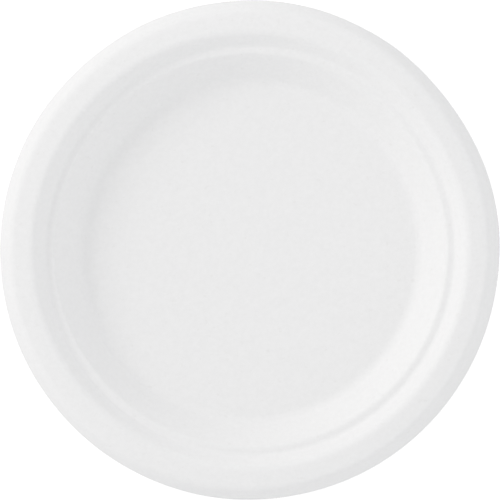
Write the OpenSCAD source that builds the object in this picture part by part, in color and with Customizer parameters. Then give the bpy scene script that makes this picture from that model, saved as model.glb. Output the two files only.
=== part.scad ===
// Round plate pressed in one piece from sugarcane pulp: a flat floor, a sloping wall with a narrow
// stacking ledge in it, a gently falling brim and a rim that is turned down all the way round.
// The origin is the centre of the underside of the floor, and +Z is up.

/* [Overall] */
// Diameter over the rim
rim_d = 178; // [150:1:265]
// Height of the crest of the brim above the table
plate_h = 15.5; // [14.5:0.5:20]
// Thickness of the pressed pulp
wall_t = 0.7; // [0.5:0.05:1]

/* [Wall] */
// Slope of the wall above the horizontal, in degrees
wall_slope = 47; // [40:1:54]
// Radius of the bend between floor and wall, on the food side
foot_r = 5; // [3:0.5:7]

/* [Ledge] */
// Height of the ledge above the table
ledge_h = 10.9; // [8.5:0.05:11.5]
// Width of the flat of the ledge
ledge_w = 0.95; // [0.4:0.05:3]
// Radius of the rounded lip where the lower wall ends, on the food side
lip_r = 1.9; // [1.6:0.1:3]
// Radius of the hollow where the upper wall starts, on the food side
root_r = 2; // [1.2:0.1:3]

/* [Brim] */
// Radius of the crest between the upper wall and the brim, on the food side
crest_r = 3.4; // [1.8:0.1:4.5]
// Distance from the crest of the brim to the centre of the bend at the rim
brim_w = 4.45; // [3:0.05:12]
// Slope at which the brim falls away outwards, in degrees
brim_slope = 6.5; // [2:0.5:12]

/* [Turned-down rim] */
// Radius of the bend where the brim turns down, on the food side
turn_r = 3.6; // [2:0.1:6]
// Slope of the straight skirt below the bend, in degrees
skirt_slope = 60; // [30:1:80]
// Length of the straight skirt
skirt_l = 6; // [1:0.1:8]
// Radius on the corners of the trimmed edge
trim_r = 0.2; // [0.05:0.01:0.24]

/* [Hidden] */
$fn = 96;
// Greatest distance between a bend and the flats that stand for it
bend_error = 0.012;

// Directions along the skirt towards its end, and square to it towards the axis
skirt_along = [cos(skirt_slope), -sin(skirt_slope)];
skirt_inwards = [-sin(skirt_slope), -cos(skirt_slope)];

// Centres of the bends, each as [distance from the axis, height]. They are worked out from the rim
// inwards, because the rim's diameter and the heights are set and the floor takes what is left.
trim_x = rim_d / 2 - trim_r;
turn_x = trim_x - (trim_r - turn_r) * skirt_inwards.x - (skirt_l - trim_r) * skirt_along.x;
crest = [turn_x - brim_w, plate_h - crest_r];
turn = [turn_x, crest.y + (crest_r - turn_r - brim_w * sin(brim_slope)) / cos(brim_slope)];
root = [crest.x - run(root_r + crest_r, plate_h - ledge_h), ledge_h + root_r];
lip = [root.x - ledge_w, ledge_h - lip_r];
foot = [lip.x - run(foot_r + lip_r, ledge_h - wall_t), wall_t + foot_r];

// Level distance between the centres of two opposite bends whose radii add up to r, and which
// the straight wall between them joins over a rise
function run(r, rise) = (rise - r * (1 - cos(wall_slope))) / tan(wall_slope) + r * sin(wall_slope);

// Points along a bend while the slope of the surface goes from one angle to another. The radius is
// positive where the centre lies above the surface, and negative where it lies below.
function bend(centre, r, from, to) =
    let (
        step = 2 * acos(1 - bend_error / abs(r)),
        steps = ceil(abs(to - from) / step)
    )
    [for (i = [0:steps]) let (a = from + (to - from) * i / steps) centre + r * [sin(a), -cos(a)]];

// One face of the shell from the axis to the start of the skirt, at a depth below the food side.
// The straight stretches run between the ends of the bends, where they are tangent.
function face(depth) = concat(
    [[0, wall_t - depth]],
    bend(foot, foot_r + depth, 0, wall_slope),
    bend(lip, depth - lip_r, wall_slope, 0),
    bend(root, root_r + depth, 0, wall_slope),
    bend(crest, depth - crest_r, wall_slope, -brim_slope),
    bend(turn, depth - turn_r, -brim_slope, -skirt_slope)
);

// The trimmed edge at the end of the skirt, square to the skirt with both corners rounded
function trimmed_edge() =
    let (
        outer_corner = turn + (trim_r - turn_r) * skirt_inwards + (skirt_l - trim_r) * skirt_along,
        inner_corner = outer_corner + (wall_t - 2 * trim_r) * skirt_inwards
    )
    concat(
        bend(outer_corner, -trim_r, -skirt_slope, -skirt_slope - 90),
        bend(inner_corner, -trim_r, -skirt_slope - 90, -skirt_slope - 180)
    );

function reversed(points) = [for (i = [len(points) - 1:-1:0]) points[i]];

// The section on one side of the axis, as one closed outline
module section() {
    polygon(concat(face(0), trimmed_edge(), reversed(face(wall_t))));
}

module plate() {
    color([0.92, 0.92, 0.92])
        rotate_extrude()
            section();
}

plate();
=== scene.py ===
# A round bagasse plate, pressed in one piece from bleached sugarcane pulp, seen from straight above.
import math
import bpy
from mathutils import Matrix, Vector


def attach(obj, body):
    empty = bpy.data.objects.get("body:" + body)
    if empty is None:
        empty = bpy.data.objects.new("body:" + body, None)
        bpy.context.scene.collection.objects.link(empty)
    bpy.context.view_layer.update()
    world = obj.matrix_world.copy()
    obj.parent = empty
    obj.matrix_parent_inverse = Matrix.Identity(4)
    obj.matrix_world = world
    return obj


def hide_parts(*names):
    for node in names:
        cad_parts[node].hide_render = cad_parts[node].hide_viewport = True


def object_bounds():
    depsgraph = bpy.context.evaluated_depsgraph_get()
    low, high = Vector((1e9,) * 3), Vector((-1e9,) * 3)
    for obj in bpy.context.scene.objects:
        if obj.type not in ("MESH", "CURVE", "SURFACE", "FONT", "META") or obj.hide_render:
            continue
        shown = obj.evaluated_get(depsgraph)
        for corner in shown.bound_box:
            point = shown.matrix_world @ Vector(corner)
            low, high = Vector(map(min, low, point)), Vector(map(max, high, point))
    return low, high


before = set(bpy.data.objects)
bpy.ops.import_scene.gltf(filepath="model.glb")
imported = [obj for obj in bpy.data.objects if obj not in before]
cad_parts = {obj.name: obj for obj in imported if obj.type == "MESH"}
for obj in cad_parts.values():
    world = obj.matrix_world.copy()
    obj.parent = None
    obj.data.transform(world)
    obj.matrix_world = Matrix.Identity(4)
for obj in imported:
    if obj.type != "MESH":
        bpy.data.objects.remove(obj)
cad_low, cad_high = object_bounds()

# All lengths are in metres
MM = 0.001

# Sizes of the pressed section
RIM_RADIUS = cad_high.x
PLATE_HEIGHT = cad_high.z
WALL_THICKNESS = 0.7 * MM
WALL_SLOPE = math.radians(47)
FOOT_RADIUS = 5.0 * MM
LEDGE_HEIGHT = 10.9 * MM
LEDGE_WIDTH = 0.95 * MM
LIP_RADIUS = 1.9 * MM
ROOT_RADIUS = 2.0 * MM
CREST_RADIUS = 3.4 * MM
BRIM_WIDTH = 4.45 * MM
BRIM_SLOPE = math.radians(6.5)
TURN_RADIUS = 3.6 * MM
SKIRT_SLOPE = math.radians(60)
SKIRT_LENGTH = 6.0 * MM
TRIM_RADIUS = 0.2 * MM

# How finely the shell is modelled
SEGMENTS = 320
BEND_STEP = math.radians(6)
RING_GAP = 4.5 * MM
POLE_RADIUS = 1.5 * MM
POLE_MARGIN = 1.01
MERGE_GAP = 0.001 * MM
TRIM_SEGMENTS = 3
TRIM_ANGLE = math.radians(60)
SMOOTH_ANGLE = math.radians(40)

# Unevenness left by the wet pressing
SLOW_WARP = 0.22 * MM
SLOW_WARP_SIZE = 45 * MM
PRESS_RIPPLE = 0.02 * MM
PRESS_RIPPLE_SIZE = 9 * MM

# Places where the rim is out of round, as an azimuth in degrees and a distance outwards
RIM_NUDGES = (
    (8, 0.28 * MM),
    (38, -0.42 * MM),
    (80, 0.26 * MM),
    (133, -0.22 * MM),
    (200, 0.1 * MM),
    (280, -0.15 * MM),
)
NUDGE_REACH = 26 * MM
NUDGE_HOLD = math.radians(3)

# How far the rim lies off the centre of the well, and how much of the shell follows it
RIM_OFFSET = (-0.22 * MM, 0.06 * MM, 0)
OFFSET_REACH = 18 * MM

# Width of the band at the rim that is taken hold of to move it
RIM_BAND = 0.5 * MM

# Sizes of the pulp's texture
FLOCK_SIZE = 2.6 * MM
GRAIN_SIZE = 0.6 * MM
MOTTLE_SIZE = 1.3 * MM
FLECK_SIZE = 1.6 * MM
FIBRE_LENGTH = 2.2 * MM
FIBRE_WIDTH = 0.35 * MM
WEAVE_PITCH = 1.1 * MM
WEAVE_PULL = 1.2 * MM
WEAVE_PULL_SIZE = 12 * MM

# Directions in which the fibres lie, in radians, and how much they waver
FIBRE_TURNS = (0.3, 1.3, 2.4)
FIBRE_WAVER = 0.6

# How much finer detail the textures have, and how strong it is
FULL_DETAIL = 2.0
PLAIN_DETAIL = 1.0
EVEN_ROUGHNESS = 0.5
GRAIN_ROUGHNESS = 0.6

# Depths of the texture: clumps and fibres on each face, and the print of the forming screen underneath
FOOD_FLOCK_DEPTH = 0.06 * MM
FOOD_FIBRE_DEPTH = 0.015 * MM
UNDER_FLOCK_DEPTH = 0.08 * MM
UNDER_FIBRE_DEPTH = 0.03 * MM
WEAVE_DEPTH = 0.03 * MM
TRIM_FLOCK_DEPTH = 0.08 * MM
TRIM_FIBRE_DEPTH = 0.05 * MM

# Colours of the pulp, each with the height in its texture where it is reached. The mottle and the flecks are
# shares of the cloudy white below them.
CLOUD_DARK = (0.25, (0.866, 0.866, 0.866))
CLOUD_PALE = (0.75, (0.878, 0.878, 0.878))
MOTTLE_DARK = (0.32, (0.989, 0.989, 0.989))
MOTTLE_PALE = (0.68, (1.006, 1.006, 1.006))
FLECK_NONE = (0.68, (1, 1, 1))
FLECK_FULL = (0.78, (0.972, 0.97, 0.966))
PULP_ROUGHNESS = 0.9
PULP_IOR = 1.3

# The photograph's frame: the rim's outline as it is seen, in pixels of a picture 500 pixels wide
PICTURE_WIDTH = 500
RIM_CENTRE_X = 249.87
RIM_CENTRE_Y = 249.96
RIM_RADIUS_SEEN = 249.9
CAMERA_HEIGHT = 2.0

# Floor: the grey that lights the plate, and the glow that is added where the floor is looked at, which leaves
# only deep shadow below white
FLOOR_SIZE = 6
FLOOR_DROP = 0.1 * MM
FLOOR_GREY = 0.9
FLOOR_GLOW = 0.55

# Light: a dome that is brighter towards the horizon, a broad key lamp low on the left, a fill lamp opposite
# and a soft box close above the far side. The fill lamp and the soft box have the dome's colour.
DOME_STRENGTH = 0.7075
HORIZON_STRENGTH = 0.334
HORIZON_FALL = 1.5
DOME_COLOUR = (0.992, 0.994, 1.0)
KEY_AZIMUTH = math.radians(157)
KEY_ELEVATION = math.radians(29)
KEY_STRENGTH = 0.686
KEY_SPREAD = math.radians(20)
KEY_COLOUR = (1.0, 0.975, 0.95)
FILL_AZIMUTH = math.radians(-45)
FILL_ELEVATION = math.radians(36)
FILL_STRENGTH = 0.193
FILL_SPREAD = math.radians(40)
TOP_AZIMUTH = math.radians(90)
TOP_ELEVATION = math.radians(60)
TOP_DISTANCE = 0.6
TOP_SIZE = 0.4
TOP_POWER = 0.186


def run_between(radii, rise):
    """Level distance between the centres of two opposite bends that a straight wall joins over a rise."""
    climb = rise - radii * (1 - math.cos(WALL_SLOPE))
    return climb / math.tan(WALL_SLOPE) + radii * math.sin(WALL_SLOPE)


def bend(centre, radius, slope_from, slope_to):
    """Rings along a bend, each as its radius and height; a negative radius has its centre below."""
    steps = math.ceil(abs(slope_to - slope_from) / BEND_STEP)
    slopes = [slope_from + (slope_to - slope_from) * i / steps for i in range(steps + 1)]
    return [(centre[0] + radius * math.sin(s), centre[1] - radius * math.cos(s)) for s in slopes]


def food_side():
    """Rings of the food side from near the axis out to the end of the skirt."""
    trim_x = RIM_RADIUS - TRIM_RADIUS
    turn_x = (trim_x - (TURN_RADIUS - TRIM_RADIUS) * math.sin(SKIRT_SLOPE)
              - (SKIRT_LENGTH - TRIM_RADIUS) * math.cos(SKIRT_SLOPE))
    crest = (turn_x - BRIM_WIDTH, PLATE_HEIGHT - CREST_RADIUS)
    drop = (CREST_RADIUS - TURN_RADIUS - BRIM_WIDTH * math.sin(BRIM_SLOPE)) / math.cos(BRIM_SLOPE)
    turn = (turn_x, crest[1] + drop)
    root_x = crest[0] - run_between(ROOT_RADIUS + CREST_RADIUS, PLATE_HEIGHT - LEDGE_HEIGHT)
    root = (root_x, LEDGE_HEIGHT + ROOT_RADIUS)
    lip = (root_x - LEDGE_WIDTH, LEDGE_HEIGHT - LIP_RADIUS)
    foot_x = lip[0] - run_between(FOOT_RADIUS + LIP_RADIUS, LEDGE_HEIGHT - WALL_THICKNESS)
    foot = (foot_x, WALL_THICKNESS + FOOT_RADIUS)
    rings = [(POLE_RADIUS, WALL_THICKNESS)]
    rings += bend(foot, FOOT_RADIUS, 0, WALL_SLOPE)
    rings += bend(lip, -LIP_RADIUS, WALL_SLOPE, 0)
    rings += bend(root, ROOT_RADIUS, 0, WALL_SLOPE)
    rings += bend(crest, -CREST_RADIUS, WALL_SLOPE, -BRIM_SLOPE)
    rings += bend(turn, -TURN_RADIUS, -BRIM_SLOPE, -SKIRT_SLOPE)
    skirt_x, skirt_z = rings[-1]
    rings.append((skirt_x + SKIRT_LENGTH * math.cos(SKIRT_SLOPE),
                  skirt_z - SKIRT_LENGTH * math.sin(SKIRT_SLOPE)))
    return rings


def with_rings_between(rings):
    """Adds rings on the long straight stretches, so that the unevenness has something to move."""
    finer = [rings[0]]
    for start, end in zip(rings, rings[1:]):
        parts = max(1, round(math.dist(start, end) / RING_GAP))
        for i in range(1, parts + 1):
            finer.append(tuple(a + (b - a) * i / parts for a, b in zip(start, end)))
    return finer


def select_vertices(piece, wanted):
    """Selects the vertices whose place meets a test, and leaves the piece in edit mode."""
    bpy.ops.object.mode_set(mode="EDIT")
    bpy.ops.mesh.select_mode(type="VERT")
    bpy.ops.mesh.select_all(action="DESELECT")
    bpy.ops.object.mode_set(mode="OBJECT")
    for vertex in piece.data.vertices:
        vertex.select = wanted(vertex.co)
    bpy.ops.object.mode_set(mode="EDIT")


def pull_ring(now, following):
    """Pulls the selected ring on to the radius and height of the following one."""
    growth = following[0] / now[0]
    bpy.ops.mesh.extrude_edges_move(TRANSFORM_OT_translate={"value": (0, 0, following[1] - now[1])})
    bpy.ops.transform.resize(value=(growth, growth, 1), center_override=(0, 0, 0))


def draw_out_food_side():
    """Models the food side from a small ring round the axis, pulled outwards ring by ring."""
    bpy.ops.object.select_all(action="DESELECT")
    rings = with_rings_between(food_side())
    bpy.ops.mesh.primitive_circle_add(vertices=SEGMENTS, radius=rings[0][0], location=(0, 0, rings[0][1]))
    piece = bpy.context.object
    piece.name = "pressed_plate"
    bpy.ops.object.transform_apply(location=True, rotation=True, scale=True)
    bpy.ops.object.mode_set(mode="EDIT")
    bpy.ops.mesh.select_all(action="SELECT")
    for now, following in zip(rings, rings[1:]):
        pull_ring(now, following)
    return piece


def close_pole(piece):
    """Draws the hole at the axis together to one point, and turns the faces upwards."""
    hole_edge = POLE_RADIUS * POLE_MARGIN
    select_vertices(piece, lambda place: math.hypot(place.x, place.y) < hole_edge)
    bpy.ops.mesh.extrude_edges_move()
    bpy.ops.mesh.merge(type="CENTER")
    bpy.ops.mesh.select_all(action="SELECT")
    bpy.ops.mesh.remove_doubles(threshold=MERGE_GAP)
    bpy.ops.mesh.normals_make_consistent(inside=False)
    bpy.ops.object.mode_set(mode="OBJECT")
    middle = min(piece.data.polygons, key=lambda face: math.hypot(face.center.x, face.center.y))
    if middle.normal.z < 0:
        bpy.ops.object.mode_set(mode="EDIT")
        bpy.ops.mesh.flip_normals()
        bpy.ops.object.mode_set(mode="OBJECT")


def move_rim(piece, azimuth, hold, shift, reach):
    """Moves the rim round an azimuth, with the shell near it following softly."""
    def held(place):
        away = math.remainder(math.atan2(place.y, place.x) - azimuth, 2 * math.pi)
        return abs(away) <= hold and math.hypot(place.x, place.y) > RIM_RADIUS - RIM_BAND

    select_vertices(piece, held)
    bpy.ops.transform.translate(value=shift, use_proportional_edit=True, proportional_edit_falloff="SMOOTH",
                                proportional_size=reach)
    bpy.ops.object.mode_set(mode="OBJECT")


def soft_noise(name, size):
    """A cloud texture with features of the given size."""
    texture = bpy.data.textures.new(name, "CLOUDS")
    texture.noise_scale = size
    texture.noise_depth = 1
    return texture


def finish_modifier(piece, kind, name, **settings):
    """Adds a modifier with its settings and applies it."""
    modifier = piece.modifiers.new(name, kind)
    for key, value in settings.items():
        setattr(modifier, key, value)
    bpy.ops.object.modifier_apply(modifier=name)


def make_uneven(piece):
    """Puts the rim off the centre and out of round, and warps and ripples the whole shell."""
    move_rim(piece, 0, math.pi, RIM_OFFSET, OFFSET_REACH)
    for degrees, outwards in RIM_NUDGES:
        azimuth = math.radians(degrees)
        shift = (outwards * math.cos(azimuth), outwards * math.sin(azimuth), 0)
        move_rim(piece, azimuth, NUDGE_HOLD, shift, NUDGE_REACH)
    finish_modifier(piece, "DISPLACE", "slow warp", texture=soft_noise("slow warp", SLOW_WARP_SIZE),
                    texture_coords="LOCAL", direction="Z", strength=SLOW_WARP)
    finish_modifier(piece, "DISPLACE", "press ripple", texture=soft_noise("press ripple", PRESS_RIPPLE_SIZE),
                    texture_coords="LOCAL", direction="NORMAL", strength=PRESS_RIPPLE)


def give_wall(piece):
    """Thickens the shell downwards, with its own material underneath and on the rounded trimmed edge."""
    finish_modifier(piece, "SOLIDIFY", "wall", thickness=WALL_THICKNESS, offset=-1, use_even_offset=True,
                    use_rim=True, material_offset=1, material_offset_rim=2)
    finish_modifier(piece, "BEVEL", "trimmed edge", width=TRIM_RADIUS, segments=TRIM_SEGMENTS,
                    limit_method="ANGLE", angle_limit=TRIM_ANGLE)


def fit_to_cad(piece):
    """Brings the warped shell back inside the box of the CAD model."""
    corners = [piece.matrix_world @ vertex.co for vertex in piece.data.vertices]
    low = [min(place[axis] for place in corners) for axis in range(3)]
    high = [max(place[axis] for place in corners) for axis in range(3)]
    ratio = [(cad_high[axis] - cad_low[axis]) / (high[axis] - low[axis]) for axis in range(3)]
    bpy.ops.object.mode_set(mode="EDIT")
    bpy.ops.mesh.select_all(action="SELECT")
    bpy.ops.transform.resize(value=ratio, center_override=low)
    bpy.ops.transform.translate(value=[cad_low[axis] - low[axis] for axis in range(3)])
    bpy.ops.object.mode_set(mode="OBJECT")


def press_plate():
    """Models the plate: the food side first, then its unevenness, wall and trimmed edge."""
    piece = draw_out_food_side()
    close_pole(piece)
    make_uneven(piece)
    give_wall(piece)
    fit_to_cad(piece)
    bpy.ops.object.shade_smooth_by_angle(angle=SMOOTH_ANGLE)
    return piece


class Graph:
    """The node tree of a material or the world, with short calls to add and link nodes."""

    def __init__(self, owner):
        owner.use_nodes = True
        self.tree = owner.node_tree
        self.tree.nodes.clear()

    def add(self, kind, links=None, **settings):
        """Adds a node, sets its properties and sockets, and links its inputs."""
        node = self.tree.nodes.new(kind)
        for key, value in settings.items():
            if hasattr(node, key):
                setattr(node, key, value)
            else:
                node.inputs[key].default_value = value
        for key, source in (links or {}).items():
            self.tree.links.new(source, node.inputs[key])
        return node

    def calculate(self, operation, *values, clamp=False):
        """The result of a sum, in which each value is a number or the output of another node."""
        node = self.add("ShaderNodeMath", operation=operation, use_clamp=clamp)
        for socket, value in zip(node.inputs, values):
            if isinstance(value, bpy.types.NodeSocket):
                self.tree.links.new(value, socket)
            else:
                socket.default_value = value
        return node.outputs[0]


def pulp_noise(graph, place, size, detail=FULL_DETAIL, rough=EVEN_ROUGHNESS):
    """A noise with features of the given size, which gives a height from 0 to 1."""
    noise = graph.add("ShaderNodeTexNoise", {"Vector": place}, Scale=1 / size, Detail=detail, Roughness=rough)
    return noise.outputs["Fac"]


def matted_fibres(graph, place):
    """Short fibres that lie level in three directions, as a height from 0 to 1."""
    mat = None
    for turn in FIBRE_TURNS:
        laid = graph.add("ShaderNodeMapping", {"Vector": place}, Rotation=(0, 0, turn),
                         Scale=(1 / FIBRE_LENGTH, 1 / FIBRE_WIDTH, 1 / FIBRE_WIDTH))
        layer = graph.add("ShaderNodeTexNoise", {"Vector": laid.outputs[0]}, Scale=1.0, Detail=PLAIN_DETAIL,
                          Roughness=EVEN_ROUGHNESS, Distortion=FIBRE_WAVER).outputs["Fac"]
        if mat is None:
            mat = layer
        else:
            mat = graph.calculate("MAXIMUM", mat, layer)
    return mat


def screen_weave(graph, place):
    """The print of the woven forming screen, a little drawn out of square, as a height from 0 to 1."""
    pull = graph.add("ShaderNodeTexNoise", {"Vector": place}, Scale=1 / WEAVE_PULL_SIZE, Detail=PLAIN_DETAIL)
    shift = graph.add("ShaderNodeVectorMath", {0: pull.outputs["Color"]}, operation="SCALE", Scale=WEAVE_PULL)
    drawn = graph.add("ShaderNodeVectorMath", {0: place, 1: shift.outputs[0]}, operation="ADD")
    parts = graph.add("ShaderNodeSeparateXYZ", {0: drawn.outputs[0]})
    threads = []
    for axis in ("X", "Y"):
        phase = graph.calculate("MULTIPLY", parts.outputs[axis], 2 * math.pi / WEAVE_PITCH)
        threads.append(graph.calculate("SINE", phase))
    crossing = graph.calculate("MULTIPLY", *threads)

    # The crossing threads go from -1 to 1
    return graph.calculate("MULTIPLY_ADD", crossing, 0.5, 0.5)


def bump(graph, height, depth, below=None):
    """A bump of the given depth, laid over the one below it."""
    links = {"Height": height}
    if below is not None:
        links["Normal"] = below
    return graph.add("ShaderNodeBump", links, Strength=1.0, Distance=depth).outputs["Normal"]


def ramp(graph, source, start, end):
    """A colour that follows a height; each end is a height and the colour there."""
    node = graph.add("ShaderNodeValToRGB", {"Fac": source})
    for element, (position, colour) in zip(node.color_ramp.elements, (start, end)):
        element.position = position
        element.color = (*colour, 1)
    return node.outputs["Color"]


def multiply(graph, first, second):
    """The product of two colours; a Mix node takes them at sockets 6 and 7 and gives it at output 2."""
    product = graph.add("ShaderNodeMix", {6: first, 7: second}, data_type="RGBA", blend_type="MULTIPLY")
    product.inputs[0].default_value = 1.0
    return product.outputs[2]


def pulp(name, flock_depth, fibre_depth, weave_depth=0):
    """Bleached pressed pulp: matt white, faintly cloudy, with short matted fibres and a few flecks."""
    material = bpy.data.materials.new(name)
    graph = Graph(material)
    place = graph.add("ShaderNodeTexCoord").outputs["Object"]
    flock = pulp_noise(graph, place, FLOCK_SIZE)
    fibre = matted_fibres(graph, place)
    grain = pulp_noise(graph, place, GRAIN_SIZE, rough=GRAIN_ROUGHNESS)
    normal = bump(graph, flock, flock_depth)
    normal = bump(graph, fibre, fibre_depth, normal)
    normal = bump(graph, grain, fibre_depth, normal)
    if weave_depth:
        normal = bump(graph, screen_weave(graph, place), weave_depth, normal)
    cloud = ramp(graph, flock, CLOUD_DARK, CLOUD_PALE)
    mottle = ramp(graph, pulp_noise(graph, place, MOTTLE_SIZE), MOTTLE_DARK, MOTTLE_PALE)
    fleck = ramp(graph, pulp_noise(graph, place, FLECK_SIZE, detail=PLAIN_DETAIL), FLECK_NONE, FLECK_FULL)
    tint = multiply(graph, multiply(graph, cloud, mottle), fleck)
    shader = graph.add("ShaderNodeBsdfPrincipled", {"Base Color": tint, "Normal": normal},
                       Roughness=PULP_ROUGHNESS, IOR=PULP_IOR)
    graph.add("ShaderNodeOutputMaterial", {"Surface": shader.outputs["BSDF"]})
    return material


def looked_at(graph):
    """A value of 1 for the rays that show what they meet: from the camera, or by way of gloss or glass."""
    rays = graph.add("ShaderNodeLightPath").outputs
    shown = graph.calculate("MAXIMUM", rays["Is Camera Ray"], rays["Is Glossy Ray"])
    return graph.calculate("MAXIMUM", shown, rays["Is Transmission Ray"])


def studio_floor():
    """Pale floor that looks white to the eye and keeps the plate's deep shadow."""
    bpy.ops.object.select_all(action="DESELECT")
    bpy.ops.mesh.primitive_plane_add(size=FLOOR_SIZE, location=(0, 0, -FLOOR_DROP))
    floor = bpy.context.object
    floor.name = "studio_floor"
    material = bpy.data.materials.new("white floor")
    graph = Graph(material)
    lit = graph.add("ShaderNodeBsdfDiffuse", Color=(FLOOR_GREY, FLOOR_GREY, FLOOR_GREY, 1))
    glow = graph.add("ShaderNodeEmission", Color=(1, 1, 1, 1), Strength=FLOOR_GLOW)
    seen = graph.add("ShaderNodeAddShader", {0: lit.outputs[0], 1: glow.outputs[0]})
    surface = graph.add("ShaderNodeMixShader", {0: looked_at(graph), 1: lit.outputs[0], 2: seen.outputs[0]})
    graph.add("ShaderNodeOutputMaterial", {"Surface": surface.outputs[0]})
    floor.data.materials.append(material)
    return floor


def light_dome():
    """A white surrounding that is brighter towards the horizon, and plain white where it is looked at."""
    world = bpy.data.worlds.new("studio")
    graph = Graph(world)
    direction = graph.add("ShaderNodeTexCoord").outputs["Generated"]
    rise = graph.add("ShaderNodeSeparateXYZ", {0: direction}).outputs["Z"]
    below_zenith = graph.calculate("SUBTRACT", 1.0, rise, clamp=True)
    near_horizon = graph.calculate("POWER", below_zenith, HORIZON_FALL)
    strength = graph.calculate("MULTIPLY_ADD", near_horizon, HORIZON_STRENGTH, DOME_STRENGTH)
    dome = graph.add("ShaderNodeBackground", {"Strength": strength}, Color=(*DOME_COLOUR, 1))
    seen = graph.add("ShaderNodeBackground", Color=(1, 1, 1, 1))
    surface = graph.add("ShaderNodeMixShader", {0: looked_at(graph), 1: dome.outputs[0], 2: seen.outputs[0]})
    graph.add("ShaderNodeOutputWorld", {"Surface": surface.outputs[0]})
    bpy.context.scene.world = world


def turned_to_plate(azimuth, elevation):
    """Rotation of a lamp that shines on the plate from a direction."""
    return (math.pi / 2 - elevation, 0, azimuth + math.pi / 2)


def add_lamp(name, azimuth, elevation, strength, spread, colour):
    """A far, soft lamp. It lights from its direction alone, so its place is only out of the way."""
    bpy.ops.object.light_add(type="SUN", location=(0, 0, 1))
    lamp = bpy.context.object
    lamp.name = name
    lamp.data.energy = strength
    lamp.data.angle = spread
    lamp.data.color = colour
    lamp.rotation_euler = turned_to_plate(azimuth, elevation)


def add_near_lamp(name, azimuth, elevation, distance, size, power, colour):
    """A round soft box near the plate, so that its light falls off a little across it."""
    level = distance * math.cos(elevation)
    place = (level * math.cos(azimuth), level * math.sin(azimuth), distance * math.sin(elevation))
    bpy.ops.object.light_add(type="AREA", location=place)
    lamp = bpy.context.object
    lamp.name = name
    lamp.data.shape = "DISK"
    lamp.data.size = size
    lamp.data.energy = power
    lamp.data.color = colour
    lamp.rotation_euler = turned_to_plate(azimuth, elevation)


def place_camera():
    """Looks straight down, with the rim's outline where the photograph has it."""
    bpy.ops.object.camera_add(location=(0, 0, CAMERA_HEIGHT), rotation=(0, 0, 0))
    camera = bpy.context.object
    camera.name = "top_camera"
    rim_height = food_side()[-1][1]
    frame_width = RIM_RADIUS * PICTURE_WIDTH / RIM_RADIUS_SEEN
    camera.data.lens = camera.data.sensor_width * (CAMERA_HEIGHT - rim_height) / frame_width
    camera.data.shift_x = (PICTURE_WIDTH / 2 - RIM_CENTRE_X) / PICTURE_WIDTH
    camera.data.shift_y = (RIM_CENTRE_Y - PICTURE_WIDTH / 2) / PICTURE_WIDTH
    bpy.context.scene.camera = camera


# The slots are the food side, the underside and the trimmed edge, in the order that give_wall counts on
plate = press_plate()
plate.data.materials.append(pulp("food side pulp", FOOD_FLOCK_DEPTH, FOOD_FIBRE_DEPTH))
plate.data.materials.append(pulp("underside pulp", UNDER_FLOCK_DEPTH, UNDER_FIBRE_DEPTH, WEAVE_DEPTH))
plate.data.materials.append(pulp("trimmed edge pulp", TRIM_FLOCK_DEPTH, TRIM_FIBRE_DEPTH))
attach(plate, "root")
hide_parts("plate")

studio_floor()
light_dome()
add_lamp("key_lamp", KEY_AZIMUTH, KEY_ELEVATION, KEY_STRENGTH, KEY_SPREAD, KEY_COLOUR)
add_lamp("fill_lamp", FILL_AZIMUTH, FILL_ELEVATION, FILL_STRENGTH, FILL_SPREAD, DOME_COLOUR)
add_near_lamp("top_lamp", TOP_AZIMUTH, TOP_ELEVATION, TOP_DISTANCE, TOP_SIZE, TOP_POWER, DOME_COLOUR)
place_camera()
bpy.context.scene.view_settings.view_transform = "Standard"
